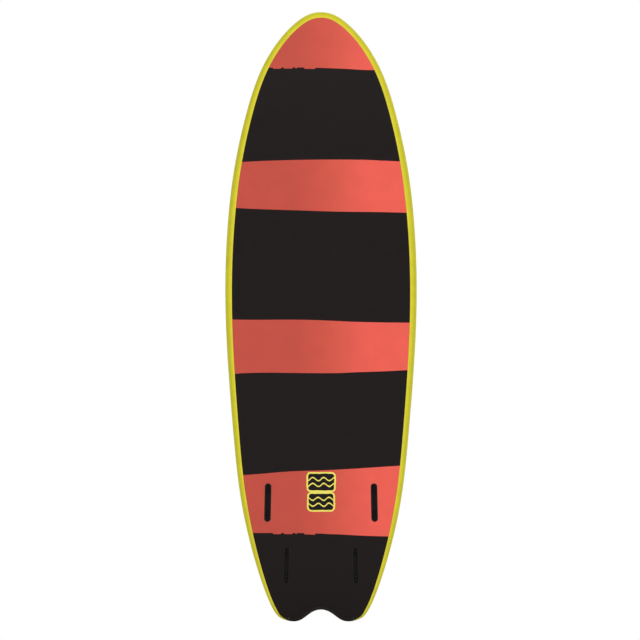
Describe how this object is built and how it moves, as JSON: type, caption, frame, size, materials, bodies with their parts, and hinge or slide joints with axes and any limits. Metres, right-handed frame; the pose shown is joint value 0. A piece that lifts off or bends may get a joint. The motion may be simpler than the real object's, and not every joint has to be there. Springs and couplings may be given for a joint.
{
  "type": "surfboard",
  "caption": "Short soft-top fish surfboard: a foam core with stringers in a slick bottom, foam rails and a soft deck, with empty fin cups and a leash cup.",
  "frame": {"origin": "the middle of the board's box, at the height of the tail tips, with the board upright", "axes": "+Z to the nose, -Y out of the bottom, +Y out of the deck, +X to the right when the bottom faces the viewer"},
  "size_m": [0.5256, 0.122, 1.6761],
  "materials": {
    "eps_foam": "matte",
    "plywood": "satin",
    "liner_foam": "matte",
    "black_slick": "satin",
    "yellow_foam": "matte",
    "black_foam": "matte",
    "black_plastic": "satin",
    "stainless": "satin"
  },
  "bodies": {
    "board": {"bottom_slick": "black_slick", "bottom_liner": "liner_foam", "core_left": "eps_foam", "core_centre": "eps_foam", "core_right": "eps_foam", "stringer_left": "plywood", "stringer_right": "plywood", "deck_skin": "yellow_foam", "rail_band": "yellow_foam", "tail_bumper": "black_foam", "leash_cup": "black_plastic", "leash_pin": "stainless", "fin_cup_front_left": "black_plastic", "fin_cup_front_right": "black_plastic", "fin_cup_rear_left": "black_plastic", "fin_cup_rear_right": "black_plastic", "deck_bush_front_left_aft": "black_plastic", "deck_bush_front_left_fore": "black_plastic", "deck_bush_front_right_aft": "black_plastic", "deck_bush_front_right_fore": "black_plastic", "deck_bush_rear_left_aft": "black_plastic", "deck_bush_rear_left_fore": "black_plastic", "deck_bush_rear_right_aft": "black_plastic", "deck_bush_rear_right_fore": "black_plastic"},
    "bolt_front_left_aft": {"fin_bolt_front_left_aft": "black_plastic"},
    "bolt_front_left_fore": {"fin_bolt_front_left_fore": "black_plastic"},
    "bolt_front_right_aft": {"fin_bolt_front_right_aft": "black_plastic"},
    "bolt_front_right_fore": {"fin_bolt_front_right_fore": "black_plastic"},
    "bolt_rear_left_aft": {"fin_bolt_rear_left_aft": "black_plastic"},
    "bolt_rear_left_fore": {"fin_bolt_rear_left_fore": "black_plastic"},
    "bolt_rear_right_aft": {"fin_bolt_rear_right_aft": "black_plastic"},
    "bolt_rear_right_fore": {"fin_bolt_rear_right_fore": "black_plastic"}
  },
  "joints": [
    {"name": "bolt_slide_front_left_aft", "type": "slide", "parent": "board", "child": "bolt_front_left_aft", "axis": [-0.0084, 0.9981, 0.0616], "range_m": [0, 0.045]},
    {"name": "bolt_slide_front_left_fore", "type": "slide", "parent": "board", "child": "bolt_front_left_fore", "axis": [-0.0084, 0.9981, 0.0616], "range_m": [0, 0.045]},
    {"name": "bolt_slide_front_right_aft", "type": "slide", "parent": "board", "child": "bolt_front_right_aft", "axis": [0.0084, 0.9981, 0.0616], "range_m": [0, 0.045]},
    {"name": "bolt_slide_front_right_fore", "type": "slide", "parent": "board", "child": "bolt_front_right_fore", "axis": [0.0084, 0.9981, 0.0616], "range_m": [0, 0.045]},
    {"name": "bolt_slide_rear_left_aft", "type": "slide", "parent": "board", "child": "bolt_rear_left_aft", "axis": [-0.0055, 0.9959, 0.0907], "range_m": [0, 0.035]},
    {"name": "bolt_slide_rear_left_fore", "type": "slide", "parent": "board", "child": "bolt_rear_left_fore", "axis": [-0.0055, 0.9959, 0.0907], "range_m": [0, 0.035]},
    {"name": "bolt_slide_rear_right_aft", "type": "slide", "parent": "board", "child": "bolt_rear_right_aft", "axis": [0.0055, 0.9959, 0.0907], "range_m": [0, 0.035]},
    {"name": "bolt_slide_rear_right_fore", "type": "slide", "parent": "board", "child": "bolt_rear_right_fore", "axis": [0.0055, 0.9959, 0.0907], "range_m": [0, 0.035]}
  ]
}
